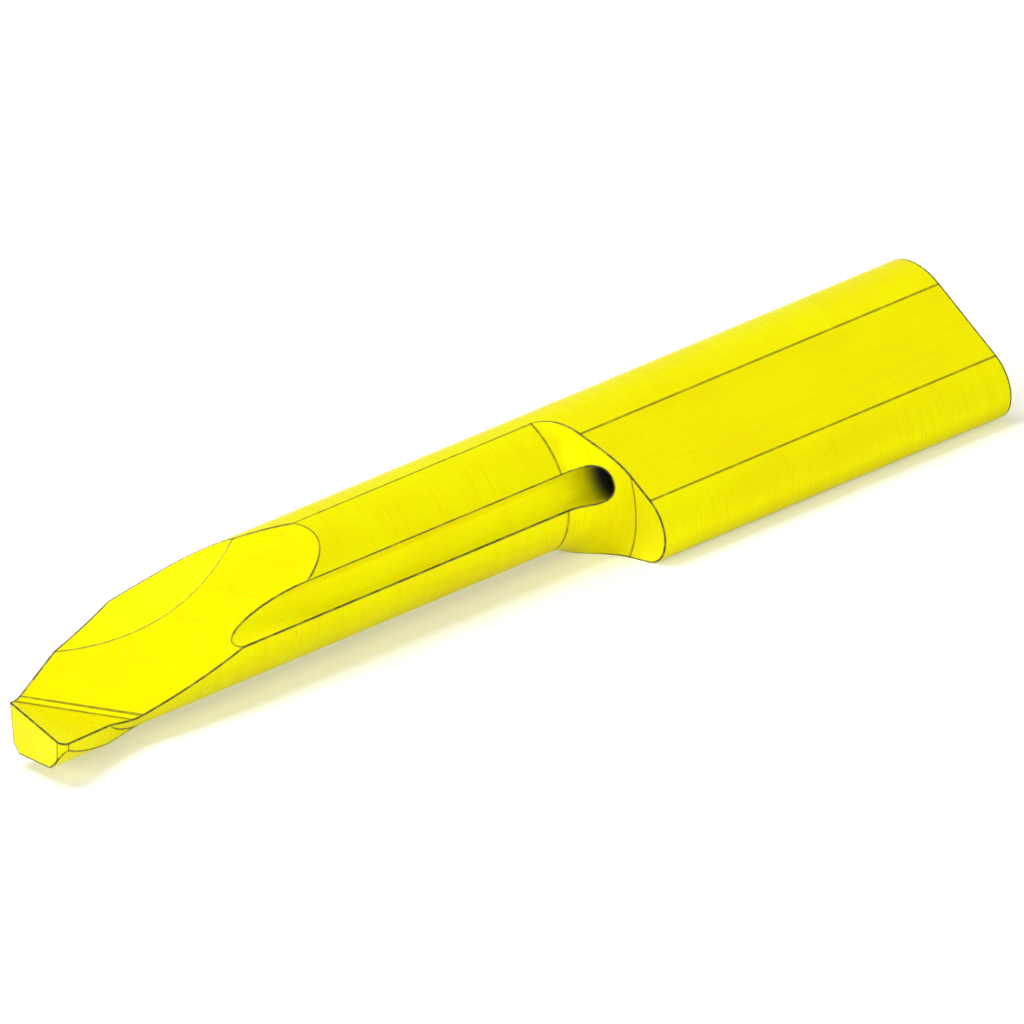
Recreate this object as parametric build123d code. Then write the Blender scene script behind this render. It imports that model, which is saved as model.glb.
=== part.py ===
from build123d import *
from math import cos, radians, sin, tan
import os

# Solid-carbide mini boring bar, ground from one blank.  Millimetres and degrees.
#
# The bar is drawn in its working frame: +X runs along the bar from the back stop face to
# the tip, +Y points from the neck's axis to the cutting corner, and +Z is the side that
# the chip leaves on.  The neck's axis is Y = 0, Z = 0.  At the end it is turned about its
# own length and laid on the shank's lower flat.

# Blank: a teardrop section, two arcs joined by tangent flats.
BIG_ARC_R = 3.0
BIG_ARC_Y = 1.0
SMALL_ARC_Y = 5.2
HALF_TAPER = 20.2
SMALL_ARC_R = BIG_ARC_R - (SMALL_ARC_Y - BIG_ARC_Y) * sin(radians(HALF_TAPER))

# Lengths along the bar, from the back stop face.  The overall length is to the sharp corner.
SHANK_LENGTH = 17.0
OVERALL_LENGTH = 44.13

# Neck: ground round about its own axis, with a fillet up to the shoulder.
NECK_R = 3.0
SHOULDER_FILLET = 1.87
NECK_START = SHANK_LENGTH + SHOULDER_FILLET

# Coolant hole: closed through the shank, open as a groove along the neck.
COOLANT_Y = 2.98
COOLANT_Z = 1.01
COOLANT_R = 0.78

# Cutting corner and the edges that run away from it.
CORNER_Y = 3.99
LEAD_ANGLE = 9.35
FRONT_CLEARANCE = 4.0
TRAIL_ANGLE = 19.85
SIDE_CLEARANCE = 7.0
NOSE_R = 0.3

# Rake face: falls back from the corner, along the bar and towards the neck's axis.
RAKE_ALONG = 14.1
RAKE_ACROSS = 7.0
CHIP_GROOVE_R = 0.58

# Gullet floor: falls to the tip and to the cutting side.
GULLET_START = 31.05
GULLET_FALL_ALONG = 19.0
GULLET_FALL_ACROSS = 27.3

# Hollow ground behind the gullet, on the side away from the cut.
HOLLOW_R = 21.8
HOLLOW_LOW_X = 43.0
HOLLOW_TILT = 5.6
HOLLOW_END_X = 41.2

# Back relief: a flat that narrows the front of the bar on the side away from the cut.
BACK_RELIEF_ANGLE = 12.6
BACK_RELIEF_LEAN = 4.1
BACK_RELIEF_Y_AT_TIP = -0.35

# Head: its heel is an arc struck off centre, so that the cutting corner stands proud of it.
HEAD_START = 38.0
HEAD_TOP = 1.5
HEAD_DEPTH = 6.0
HEEL_R = 4.72
HEEL_AXIS_Y = -0.43
HEEL_AXIS_Z = 1.62
RUNOUT_START = 40.9
RUNOUT_ANGLE = 6.5
RUNOUT_SIDE = -47.0

# Flat ground under the head, ending in the wheel's own curve.
UNDERSIDE_Y = 2.86
UNDERSIDE_Z = -1.82
UNDERSIDE_ANGLE = 21.3
UNDERSIDE_START = 40.0
UNDERSIDE_WHEEL_R = 12.0

# Bigger than the bar in every direction: the size of the tools that cut it.
STOCK = 60.0

CORNER = Vector(OVERALL_LENGTH, CORNER_Y, 0)
ALONG = Vector(1, 0, 0)


def slope(angle):
    return tan(radians(angle))


def beyond(point, normal):
    """Everything on the far side of a plane through the point, as a large block."""
    wheel_face = Plane(origin=point, z_dir=normal)
    return extrude(wheel_face * Rectangle(2 * STOCK, 2 * STOCK), STOCK)


def blank():
    """A bar of the teardrop section, a little longer than the tool."""
    arcs = Pos(BIG_ARC_Y, 0) * Circle(BIG_ARC_R) + Pos(SMALL_ARC_Y, 0) * Circle(SMALL_ARC_R)
    return extrude(Plane.YZ * make_hull(arcs.edges()), OVERALL_LENGTH + CORNER_Y)


def ground_envelope():
    """The round shape that grinding about the neck's axis leaves."""
    fillet_r = NECK_R + SHOULDER_FILLET
    arc_middle = SHOULDER_FILLET * sin(radians(45))
    with BuildSketch(Plane.XY) as half:
        with BuildLine():
            Polyline((SHANK_LENGTH, fillet_r), (SHANK_LENGTH, STOCK), (0, STOCK), (0, 0), (STOCK, 0),
                     (STOCK, NECK_R), (NECK_START, NECK_R))
            ThreePointArc((NECK_START, NECK_R), (NECK_START - arc_middle, fillet_r - arc_middle),
                          (SHANK_LENGTH, fillet_r))
        make_face()
    return revolve(half.sketch, Axis.X)


def rake_rise(along, across):
    """How far the rake face rises over a step along and across the bar."""
    return along * slope(RAKE_ALONG) + across * slope(RAKE_ACROSS)


def front_relief():
    return beyond(CORNER, Vector(1, -slope(LEAD_ANGLE), -slope(FRONT_CLEARANCE)))


def side_relief():
    """Its face holds the side cutting edge and the line where the flank meets the front."""
    side_edge = Vector(-1, -slope(TRAIL_ANGLE), rake_rise(-1, -slope(TRAIL_ANGLE)))
    flank_line = Vector(-slope(FRONT_CLEARANCE) - slope(LEAD_ANGLE) * slope(SIDE_CLEARANCE),
                        -slope(SIDE_CLEARANCE), -1)
    return beyond(CORNER, flank_line.cross(side_edge))


def head_runout():
    """Fades the heel of the head back into the neck."""
    outwards = Vector(0, cos(radians(RUNOUT_SIDE)), sin(radians(RUNOUT_SIDE)))
    start = Vector(RUNOUT_START, HEEL_AXIS_Y, HEEL_AXIS_Z) + outwards * HEEL_R
    return beyond(start, outwards - ALONG * slope(RUNOUT_ANGLE))


def head():
    """The material left standing under the cutting corner, before the rake is ground."""
    low_end_at_top = (Align.MIN, Align.MIN, Align.MAX)
    wedge = Pos(HEAD_START, 0, HEAD_TOP) * Box(STOCK, STOCK, HEAD_DEPTH, align=low_end_at_top)
    wedge -= front_relief()
    wedge -= side_relief()
    nose = wedge.edges().sort_by_distance(CORNER)[0]
    wedge = fillet(nose, NOSE_R)
    heel = Pos(HEEL_AXIS_Y, HEEL_AXIS_Z) * Circle(HEEL_R)
    return wedge & extrude(Plane.YZ * heel, STOCK) - head_runout()


def underside():
    """What the wheel takes off under the head."""
    across = Vector(0, cos(radians(UNDERSIDE_ANGLE)), sin(radians(UNDERSIDE_ANGLE)))
    side_view = Plane(origin=(0, UNDERSIDE_Y, UNDERSIDE_Z), x_dir=ALONG, z_dir=across)
    wheel = Pos(UNDERSIDE_START, UNDERSIDE_WHEEL_R) * Circle(UNDERSIDE_WHEEL_R)
    sweep = Pos(UNDERSIDE_START, 0) * Rectangle(STOCK, STOCK, align=(Align.MIN, Align.MIN))
    return extrude(side_view * (wheel + sweep), STOCK, both=True)


def chip_groove():
    """Above the gullet floor and above the rake face, with the groove's radius between."""
    gullet_floor = beyond(Vector(GULLET_START, 0, NECK_R),
                          Vector(slope(GULLET_FALL_ALONG), slope(GULLET_FALL_ACROSS), 1))
    rake_face = beyond(CORNER, Vector(-slope(RAKE_ALONG), -slope(RAKE_ACROSS), 1))
    groove = gullet_floor & rake_face
    valley = groove.edges().sort_by_distance(CORNER)[0]
    return fillet(valley, CHIP_GROOVE_R)


def back_hollow():
    """A large wheel's hollow, tangent to the neck's centre plane near the tip."""
    wheel = Cylinder(HOLLOW_R, STOCK, rotation=(90, 0, 0))
    wheel = Rot(-HOLLOW_TILT, 0, 0) * Pos(HOLLOW_LOW_X, 0, HOLLOW_R) * wheel
    stroke = Box(2 * STOCK, STOCK, STOCK, align=(Align.MAX, Align.CENTER, Align.CENTER))
    return wheel & Pos(HOLLOW_END_X, 0, 0) * stroke


def back_relief():
    tip_side = Vector(OVERALL_LENGTH, BACK_RELIEF_Y_AT_TIP, 0)
    return beyond(tip_side, Vector(slope(BACK_RELIEF_ANGLE), -1, -slope(BACK_RELIEF_LEAN)))


def coolant_hole():
    """One drilling: a closed hole in the shank, which the ground neck lays open as a groove."""
    section = Pos(COOLANT_Y, COOLANT_Z) * Circle(COOLANT_R)
    return extrude(Plane.YZ * section, OVERALL_LENGTH + CORNER_Y)


def boring_bar():
    bar = blank() & ground_envelope()
    bar += head()
    bar -= underside()
    bar -= front_relief()
    bar -= back_relief()
    bar -= chip_groove()
    bar -= back_hollow()
    bar -= coolant_hole()
    return bar


def laid_down(bar):
    """Turned about its length so that the shank's lower flat is down, at Z = 0."""
    flat_depth = BIG_ARC_R + BIG_ARC_Y * sin(radians(HALF_TAPER))
    flat_middle = (BIG_ARC_Y + SMALL_ARC_Y) / 2 * cos(radians(HALF_TAPER))
    return Pos(-SHANK_LENGTH / 2, -flat_middle, flat_depth) * Rot(-HALF_TAPER, 0, 0) * bar


os.makedirs("parts", exist_ok=True)
export_step(laid_down(boring_bar()), "parts/boring_bar.step")
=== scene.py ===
from math import cos, pi, radians, sin

import bpy
from mathutils import Matrix, Vector


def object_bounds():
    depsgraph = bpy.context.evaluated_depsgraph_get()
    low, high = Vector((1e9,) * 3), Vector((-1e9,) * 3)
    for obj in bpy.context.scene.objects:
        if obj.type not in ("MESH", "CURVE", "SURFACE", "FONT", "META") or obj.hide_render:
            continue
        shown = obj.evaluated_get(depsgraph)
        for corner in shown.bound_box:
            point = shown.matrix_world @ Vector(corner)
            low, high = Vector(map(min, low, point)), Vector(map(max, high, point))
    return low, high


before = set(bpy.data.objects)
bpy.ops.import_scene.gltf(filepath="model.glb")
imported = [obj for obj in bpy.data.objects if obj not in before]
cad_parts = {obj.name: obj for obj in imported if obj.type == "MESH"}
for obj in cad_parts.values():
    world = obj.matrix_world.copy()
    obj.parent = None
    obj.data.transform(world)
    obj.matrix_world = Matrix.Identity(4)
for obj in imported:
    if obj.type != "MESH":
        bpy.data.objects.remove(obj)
cad_low, cad_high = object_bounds()


# --- The bar -------------------------------------------------------------------------
# One rod of sintered tungsten carbide, ground all over and then coated in a vacuum
# furnace.  The coating is a few micrometres of hard bright yellow, so the wheel marks
# still show through it, and it is thinnest on the sharp edges and down the coolant hole.

MM = 0.001

coating = bpy.data.materials.new("yellow_hard_coating")
coating.use_nodes = True
sheet = coating.node_tree
sheet.nodes.clear()


def node(kind, **settings):
    """One node on the sheet that is being drawn."""
    made = sheet.nodes.new(kind)
    for name, value in settings.items():
        setattr(made, name, value)
    return made


def join(source, target):
    sheet.links.new(source, target)


def feed(value, socket):
    """Joins a socket, or sets a plain number, direction or colour."""
    if isinstance(value, bpy.types.NodeSocket):
        join(value, socket)
    else:
        socket.default_value = value


def sums(operation, first, second, clamp=False):
    """One arithmetic step on numbers or sockets."""
    step = node("ShaderNodeMath", operation=operation, use_clamp=clamp)
    feed(first, step.inputs[0])
    feed(second, step.inputs[1])
    return step.outputs[0]


def times(first, second):
    return sums("MULTIPLY", first, second)


def larger(first, second):
    return sums("MAXIMUM", first, second)


def less(first, second):
    return sums("SUBTRACT", first, second)


def outside(mask):
    """1 where the mask is 0, and 0 where it is 1."""
    return less(1.0, mask)


def size_of(value):
    return sums("ABSOLUTE", value, 0.0)


def fade(value, low, high):
    """0 below the low figure, 1 above the high one, smooth between."""
    ramp = node("ShaderNodeMapRange", interpolation_type="SMOOTHSTEP")
    join(value, ramp.inputs["Value"])
    ramp.inputs["From Min"].default_value = low
    ramp.inputs["From Max"].default_value = high
    return ramp.outputs[0]


def part_way(amount, first, second):
    """A number between two others, which this kind of node takes at its inputs 2 and 3."""
    mix = node("ShaderNodeMix", data_type="FLOAT")
    feed(amount, mix.inputs[0])
    feed(first, mix.inputs[2])
    feed(second, mix.inputs[3])
    return mix.outputs[0]


def blend(amount, first, second):
    """A colour between two others, which this kind of node takes at its inputs 6 and 7."""
    mix = node("ShaderNodeMix", data_type="RGBA")
    feed(amount, mix.inputs[0])
    feed(first, mix.inputs[6])
    feed(second, mix.inputs[7])
    return mix.outputs[2]


def vectors(operation, first, second):
    step = node("ShaderNodeVectorMath", operation=operation)
    feed(first, step.inputs[0])
    feed(second, step.inputs[1])
    return step


def amount_along(value, direction):
    """How much of a direction or a place lies along another direction."""
    return vectors("DOT_PRODUCT", value, direction).outputs["Value"]


def length_of(value):
    return vectors("LENGTH", value, (0, 0, 0)).outputs["Value"]


def stretched(value, scale):
    """A direction or a place, made this many times longer."""
    step = node("ShaderNodeVectorMath", operation="SCALE")
    feed(value, step.inputs[0])
    feed(scale, step.inputs["Scale"])
    return step.outputs[0]


place = node("ShaderNodeTexCoord").outputs["Object"]
where = node("ShaderNodeSeparateXYZ")
join(place, where.inputs[0])
facing = node("ShaderNodeNewGeometry").outputs["Normal"]
facing_parts = node("ShaderNodeSeparateXYZ")
join(facing, facing_parts.inputs[0])


def marks(direction, along_mm, across_mm, detail=2.0):
    """Noise whose grains are so long in the direction given and so wide across it."""
    direction = Vector(direction).normalized()
    change = (1 / along_mm - 1 / across_mm) / MM
    lengthwise = stretched(direction, times(amount_along(place, direction), change))
    crosswise = stretched(place, 1 / (across_mm * MM))
    noise = node("ShaderNodeTexNoise")
    join(vectors("ADD", crosswise, lengthwise).outputs[0], noise.inputs["Vector"])
    noise.inputs["Scale"].default_value = 1.0
    noise.inputs["Detail"].default_value = detail
    return noise.outputs["Fac"]


def faces(direction, within):
    """1 on what faces this way, within so many degrees, and 0 from three tenths further off."""
    gone_at = within * 1.3
    turned_to = amount_along(facing, Vector(direction).normalized())
    return fade(turned_to, low=cos(radians(gone_at)), high=cos(radians(within)))


def leaving(direction, nearest, furthest):
    """1 where a curve has just begun to turn away from this direction, by degrees."""
    return sums("SUBTRACT", faces(direction, furthest), faces(direction, nearest), clamp=True)


def from_line(y_mm, z_mm):
    """Distance from a line that runs along the bar."""
    offset = node("ShaderNodeCombineXYZ")
    join(less(where.outputs["Y"], y_mm * MM), offset.inputs["Y"])
    join(less(where.outputs["Z"], z_mm * MM), offset.inputs["Z"])
    return length_of(offset.outputs[0])


def past(value, start, run):
    """0 up to the start, 1 from one run past it."""
    return fade(value, low=start, high=start + run)


def near(value, target, reach):
    """1 on the target, fading from a third of the reach off it to 0 at the whole reach."""
    return outside(fade(size_of(less(value, target)), low=reach / 3, high=reach))


# Where each ground face is.  The directions are the outward ones, with the bar at rest.  A
# mask fades over SOFT_END along the bar, and over a few times SKIN beside a round wall.
ALONG = (1, 0, 0)
BACKWARDS = (-1, 0, 0)
UPPER_FLAT = (0, 0.6481, 0.7615)
LOWER_FLAT = (0, 0, -1)
GULLET_FLOOR = (0.2926, 0.7050, 0.6460)
RAKE = (-0.2419, 0.2216, 0.9447)
FRONT = (0.9844, -0.1759, -0.0086)
FLANK = (-0.3152, 0.8566, -0.4085)
SHOULDER_X = 8.5 * MM
NECK_START_X = 10.37 * MM
NECK_R = 3.0 * MM
TIP_FROM_X = 21.0 * MM
HEAD_FROM_X = 30.0 * MM
HOLE_R = 0.78 * MM
SOFT_END = 0.1 * MM
SKIN = 0.02 * MM
UPWARD_FROM = 0.72
UPWARD_TO = 0.78

from_neck = from_line(y_mm=-2.909, z_mm=3.345)
from_hole = from_line(y_mm=0.2362, z_mm=3.264)
before_neck = outside(past(where.outputs["X"], NECK_START_X - SOFT_END, SOFT_END))
on_shank = times(fade(from_neck, NECK_R + 3 * SKIN, NECK_R + 7 * SKIN), before_neck)
on_tip = past(where.outputs["X"], TIP_FROM_X, SOFT_END)
on_head = past(where.outputs["X"], HEAD_FROM_X, SOFT_END)
in_hole = outside(fade(from_hole, HOLE_R + SKIN, HOLE_R + 2.5 * SKIN))
inside_neck = outside(fade(from_neck, NECK_R - 2.5 * SKIN, NECK_R - SKIN))
# The rake looks up as the hollow does, so its own marks are laid over the hollow's.
on_hollow = times(fade(facing_parts.outputs["Z"], UPWARD_FROM, UPWARD_TO), times(on_tip, inside_neck))
on_flat = times(larger(faces(UPPER_FLAT, within=1.5), faces(LOWER_FLAT, within=1.5)), on_shank)
on_gullet = times(faces(GULLET_FLOOR, within=2.0), on_tip)
on_rake = times(faces(RAKE, within=2.0), on_tip)
on_end = larger(faces(ALONG, within=16.0), faces(BACKWARDS, within=4.0))

# Round parts are ground turning, which leaves rings.  The shank's flats, the coolant hole
# and the hollow behind the tip have lines along the bar, the gullet and the rake are ground
# in one stroke along the groove between them, and the two ends across.
GROOVE = Vector(GULLET_FLOOR).cross(Vector(RAKE))
END_STROKE = (0, 0.5, 1)
lay = marks(ALONG, along_mm=0.11, across_mm=3.0)
lay = part_way(on_flat, lay, marks(ALONG, along_mm=6.0, across_mm=0.12))
lay = part_way(larger(in_hole, on_hollow), lay, marks(ALONG, along_mm=2.5, across_mm=0.11))
lay = part_way(larger(on_gullet, on_rake), lay, marks(GROOVE, along_mm=4.0, across_mm=0.10))
lay = part_way(on_end, lay, marks(END_STROKE, along_mm=2.5, across_mm=0.10))
coarse_rings = marks(ALONG, along_mm=0.7, across_mm=5.0)
coarse = part_way(on_flat, coarse_rings, marks(ALONG, along_mm=9.0, across_mm=0.6))

# Where one grinding pass runs smoothly into the next it leaves a fine line: along both
# sides of each flat, round the start of the neck, where its fillet meets the shoulder, and
# along both sides of the chip groove and of the nose.
SEAM_WIDTH = 0.075 * MM
FLAT_HALF = 1.971 * MM
UPPER_MIDDLE = (0, 1.4743 * MM, 4.007 * MM)
FILLET_OUTER_R = 4.87 * MM
across_flat = Vector(UPPER_FLAT).cross(Vector(ALONG))
across_upper = amount_along(vectors("SUBTRACT", place, UPPER_MIDDLE).outputs[0], across_flat)
beside_upper = times(faces(UPPER_FLAT, within=8.0), near(size_of(across_upper), FLAT_HALF, SEAM_WIDTH))
beside_lower = times(faces(LOWER_FLAT, within=8.0),
                     near(size_of(where.outputs["Y"]), FLAT_HALF, SEAM_WIDTH))
round_neck = times(near(where.outputs["X"], NECK_START_X, SEAM_WIDTH),
                   fade(from_neck, NECK_R - 2 * SKIN, NECK_R - 0.75 * SKIN))
on_shoulder = times(near(from_neck, FILLET_OUTER_R, SEAM_WIDTH),
                    near(where.outputs["X"], SHOULDER_X, SEAM_WIDTH))
beside_groove = larger(leaving(RAKE, nearest=3.0, furthest=13.0),
                       leaving(GULLET_FLOOR, nearest=3.0, furthest=8.0))
beside_nose = larger(leaving(FRONT, nearest=4.0, furthest=14.0),
                     leaving(FLANK, nearest=4.0, furthest=14.0))
on_head_seam = times(larger(beside_groove, beside_nose), on_head)
seams = larger(times(larger(beside_upper, beside_lower), on_shank),
               larger(larger(round_neck, on_shoulder), on_head_seam))

# The coating wears first on the sharp outer edges where the ground faces meet, showing grey carbide.
# The same mask also turns the inside creases between faces that grey.
EDGE_WIDTH = 0.12 * MM
EDGE_RAYS = 12
TURN_UNMARKED = 0.0006
TURN_ALL_GREY = 0.005
WORN_LEAST = 0.70
WORN_MOST = 0.95
rounded = node("ShaderNodeBevel", samples=EDGE_RAYS)
rounded.inputs["Radius"].default_value = EDGE_WIDTH
# The bevel mask is 1 along outer edges and inside creases alike, so both take the grey.
edge = fade(outside(amount_along(rounded.outputs[0], facing)), TURN_UNMARKED, TURN_ALL_GREY)
patches = fade(marks(ALONG, along_mm=0.5, across_mm=0.3, detail=4.0), low=0.34, high=0.58)
broken = part_way(patches, WORN_LEAST, WORN_MOST)
worn_edges_and_grey_creases = sums("MULTIPLY", edge, broken, clamp=True)

# Down the coolant hole the coating thins to bare grey carbide.
BARE_FROM = -7.2 * MM
BARE_TO = 8.2 * MM
THINNING = 1.0 * MM
deep = times(past(where.outputs["X"], BARE_FROM - THINNING, THINNING),
             outside(past(where.outputs["X"], BARE_TO, THINNING)))
# The grey covers the worn outer edges, the inside creases and the deep part of the hole.
grey_carbide_share = larger(worn_edges_and_grey_creases, times(in_hole, deep))

# Colour: the coating's thickness drifts a little, and it looks deeper in the wheel marks, on
# the shank's flats and on the gullet.
YELLOW = (0.99, 0.96, 0.002, 1)
DEEPER_YELLOW = (0.92, 0.76, 0.002, 1)
RUBBED_BROWN = (0.15, 0.12, 0.02, 1)
CARBIDE_GREY = (0.055, 0.054, 0.050, 1)
DRIFT_DEPTH = 0.35
MARK_DEPTH = 0.34
COARSE_DEPTH = 0.16
FLAT_DEPTH = 0.18
SEAM_DEPTH = 0.80
drift = fade(marks(ALONG, along_mm=5.0, across_mm=2.2, detail=3.0), low=0.40, high=0.72)
tone = blend(times(drift, DRIFT_DEPTH), YELLOW, DEEPER_YELLOW)
tone = blend(times(fade(lay, low=0.46, high=0.74), MARK_DEPTH), tone, DEEPER_YELLOW)
tone = blend(times(fade(coarse, low=0.48, high=0.70), COARSE_DEPTH), tone, DEEPER_YELLOW)
tone = blend(times(larger(on_flat, on_gullet), FLAT_DEPTH), tone, DEEPER_YELLOW)
tone = blend(times(seams, times(broken, SEAM_DEPTH)), tone, RUBBED_BROWN)
tone = blend(grey_carbide_share, tone, CARBIDE_GREY)

# Gloss: satin on the rounds and brighter on the flats and the rake, with smears and wheel
# marks that dull it here and there.
SATIN = 0.34
BRIGHT = 0.28
SMEAR_DULLING = 0.20
MARK_DULLING = 0.24
MIDDLE = 0.5
smear = marks(ALONG, along_mm=1.6, across_mm=0.9, detail=4.0)
polish = part_way(larger(on_flat, on_rake), SATIN, BRIGHT)
dulling = sums("ADD", times(less(smear, MIDDLE), SMEAR_DULLING), times(less(lay, MIDDLE), MARK_DULLING))

GRIND_DEPTH = 0.0022 * MM
relief = node("ShaderNodeBump")
relief.inputs["Strength"].default_value = 1.0
relief.inputs["Distance"].default_value = GRIND_DEPTH
join(lay, relief.inputs["Height"])
join(rounded.outputs[0], relief.inputs["Normal"])

# The gleam is weak and yellow, so the bar keeps its colour where it is seen at a low angle.
METAL_SHARE = 0.32
GLEAM = 0.03
GLEAM_TINT = (1.0, 0.93, 0.20, 1)
surface = node("ShaderNodeBsdfPrincipled")
surface.inputs["Metallic"].default_value = METAL_SHARE
surface.inputs["Specular IOR Level"].default_value = GLEAM
surface.inputs["Specular Tint"].default_value = GLEAM_TINT
join(tone, surface.inputs["Base Color"])
join(sums("ADD", polish, dulling), surface.inputs["Roughness"])
join(relief.outputs[0], surface.inputs["Normal"])
join(surface.outputs[0], node("ShaderNodeOutputMaterial").inputs["Surface"])

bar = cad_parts["boring_bar"]
bar.data.materials.clear()
bar.data.materials.append(coating)


# --- The table -----------------------------------------------------------------------
# A sheet of smooth white card that runs on past the view on every side.  The bar lies
# on it on the shank's lower flat, so the neck hangs just clear.

CARD_HALF = 0.6
CARD_GAP = 0.01 * MM
CARD_WHITE = (0.9, 0.9, 0.9, 1)
LIFT_BY_BAR = 0.29
LIFT_FAR_OFF = 1.0
LIFT_FROM = 30 * MM
LIFT_TO = 150 * MM
card_mesh = bpy.data.meshes.new("white_card")
card_mesh.from_pydata([(-CARD_HALF, -CARD_HALF, 0), (CARD_HALF, -CARD_HALF, 0),
                       (CARD_HALF, CARD_HALF, 0), (-CARD_HALF, CARD_HALF, 0)], [], [(0, 1, 2, 3)])
card = bpy.data.objects.new("white_card", card_mesh)
card.location.z = cad_low.z - CARD_GAP
bpy.context.scene.collection.objects.link(card)

card_finish = bpy.data.materials.new("white_card")
card_finish.use_nodes = True
sheet = card_finish.node_tree
sheet.nodes.clear()


def seen_or_mirrored():
    """1 for what is seen straight, in a shiny face or through glass, and 0 for lighting."""
    rays = node("ShaderNodeLightPath")
    mirrored = sums("ADD", rays.outputs["Is Glossy Ray"], rays.outputs["Is Transmission Ray"])
    return sums("ADD", rays.outputs["Is Camera Ray"], mirrored, clamp=True)


# Seen straight or in a shiny face, the card is lifted above what the light makes of it, most
# of all far from the bar, so that it reads as white and still keeps the bar's shadow.
matt = node("ShaderNodeBsdfDiffuse")
matt.inputs["Color"].default_value = CARD_WHITE
lift = node("ShaderNodeEmission")
from_bar = length_of(node("ShaderNodeTexCoord").outputs["Object"])
card_lift = part_way(fade(from_bar, LIFT_FROM, LIFT_TO), LIFT_BY_BAR, LIFT_FAR_OFF)
join(times(seen_or_mirrored(), card_lift), lift.inputs["Strength"])
both = node("ShaderNodeAddShader")
join(matt.outputs[0], both.inputs[0])
join(lift.outputs[0], both.inputs[1])
join(both.outputs[0], node("ShaderNodeOutputMaterial").inputs["Surface"])
card_mesh.materials.append(card_finish)


# --- The light -----------------------------------------------------------------------
# A white room with one soft lamp overhead and two weaker ones, in front of the tip and
# beside the bar, so that every ground facet takes its own shade.

ROOM_LEVEL = 0.32
room = bpy.data.worlds.new("white_room")
bpy.context.scene.world = room
room.use_nodes = True
sheet = room.node_tree
sheet.nodes.clear()
walls = node("ShaderNodeBackground")
walls.inputs["Color"].default_value = (1, 1, 1, 1)
shown_above_lighting = times(seen_or_mirrored(), 1 - ROOM_LEVEL)
join(sums("ADD", shown_above_lighting, ROOM_LEVEL), walls.inputs["Strength"])
join(walls.outputs[0], node("ShaderNodeOutputWorld").inputs["Surface"])


def soft_lamp(name, direction, distance, side, share):
    """A square soft box that lights a white face turned to it to this share of white."""
    light = bpy.data.lights.new(name, "AREA")
    light.shape = "SQUARE"
    light.size = side
    light.energy = share * (pi * distance) ** 2
    lamp = bpy.data.objects.new(name, light)
    bpy.context.scene.collection.objects.link(lamp)
    towards = Vector(direction).normalized()
    middle = (cad_low + cad_high) / 2
    aimed = towards.to_track_quat("Z", "Y").to_matrix().to_4x4()
    lamp.matrix_world = Matrix.Translation(middle + towards * distance) @ aimed


soft_lamp("overhead_softbox", direction=(0.22, -0.10, 0.97), distance=0.30, side=0.16, share=0.50)
soft_lamp("tip_softbox", direction=(0.90, -0.20, 0.25), distance=0.34, side=0.16, share=0.28)
soft_lamp("side_softbox", direction=(0.20, 0.90, 0.35), distance=0.34, side=0.20, share=0.24)


# --- The camera ----------------------------------------------------------------------
# A very long lens, from so far off that parallel edges stay almost parallel, turned a little
# so that the bar climbs more steeply from the lower left to the upper right.

VIEW_WIDTH = 39.9028 * MM
AIM = Vector((11.1080, -2.9432, 2.2829)) * MM
AROUND = radians(58.2641)
ABOVE = radians(17.8753)
TILTED = radians(-12.0089)
LENS_MM = 1500.0
FILM_MM = 36.0
STAND_OFF = VIEW_WIDTH * LENS_MM / FILM_MM
NEAREST_SEEN = 0.01
FURTHEST_SEEN = 4.0

back = Vector((cos(AROUND) * cos(ABOVE), sin(AROUND) * cos(ABOVE), sin(ABOVE)))
level = Vector((0, 0, 1)).cross(back).normalized()
upright = back.cross(level)
across = level * cos(TILTED) + upright * sin(TILTED)
up = back.cross(across)

lens = bpy.data.cameras.new("camera")
lens.lens = LENS_MM
lens.sensor_width = FILM_MM
lens.clip_start = NEAREST_SEEN
lens.clip_end = FURTHEST_SEEN
camera = bpy.data.objects.new("camera", lens)
bpy.context.scene.collection.objects.link(camera)
turned = Matrix((across, up, back)).transposed().to_4x4()
camera.matrix_world = Matrix.Translation(AIM + back * STAND_OFF) @ turned
bpy.context.scene.camera = camera
bpy.context.scene.view_settings.view_transform = "Standard"
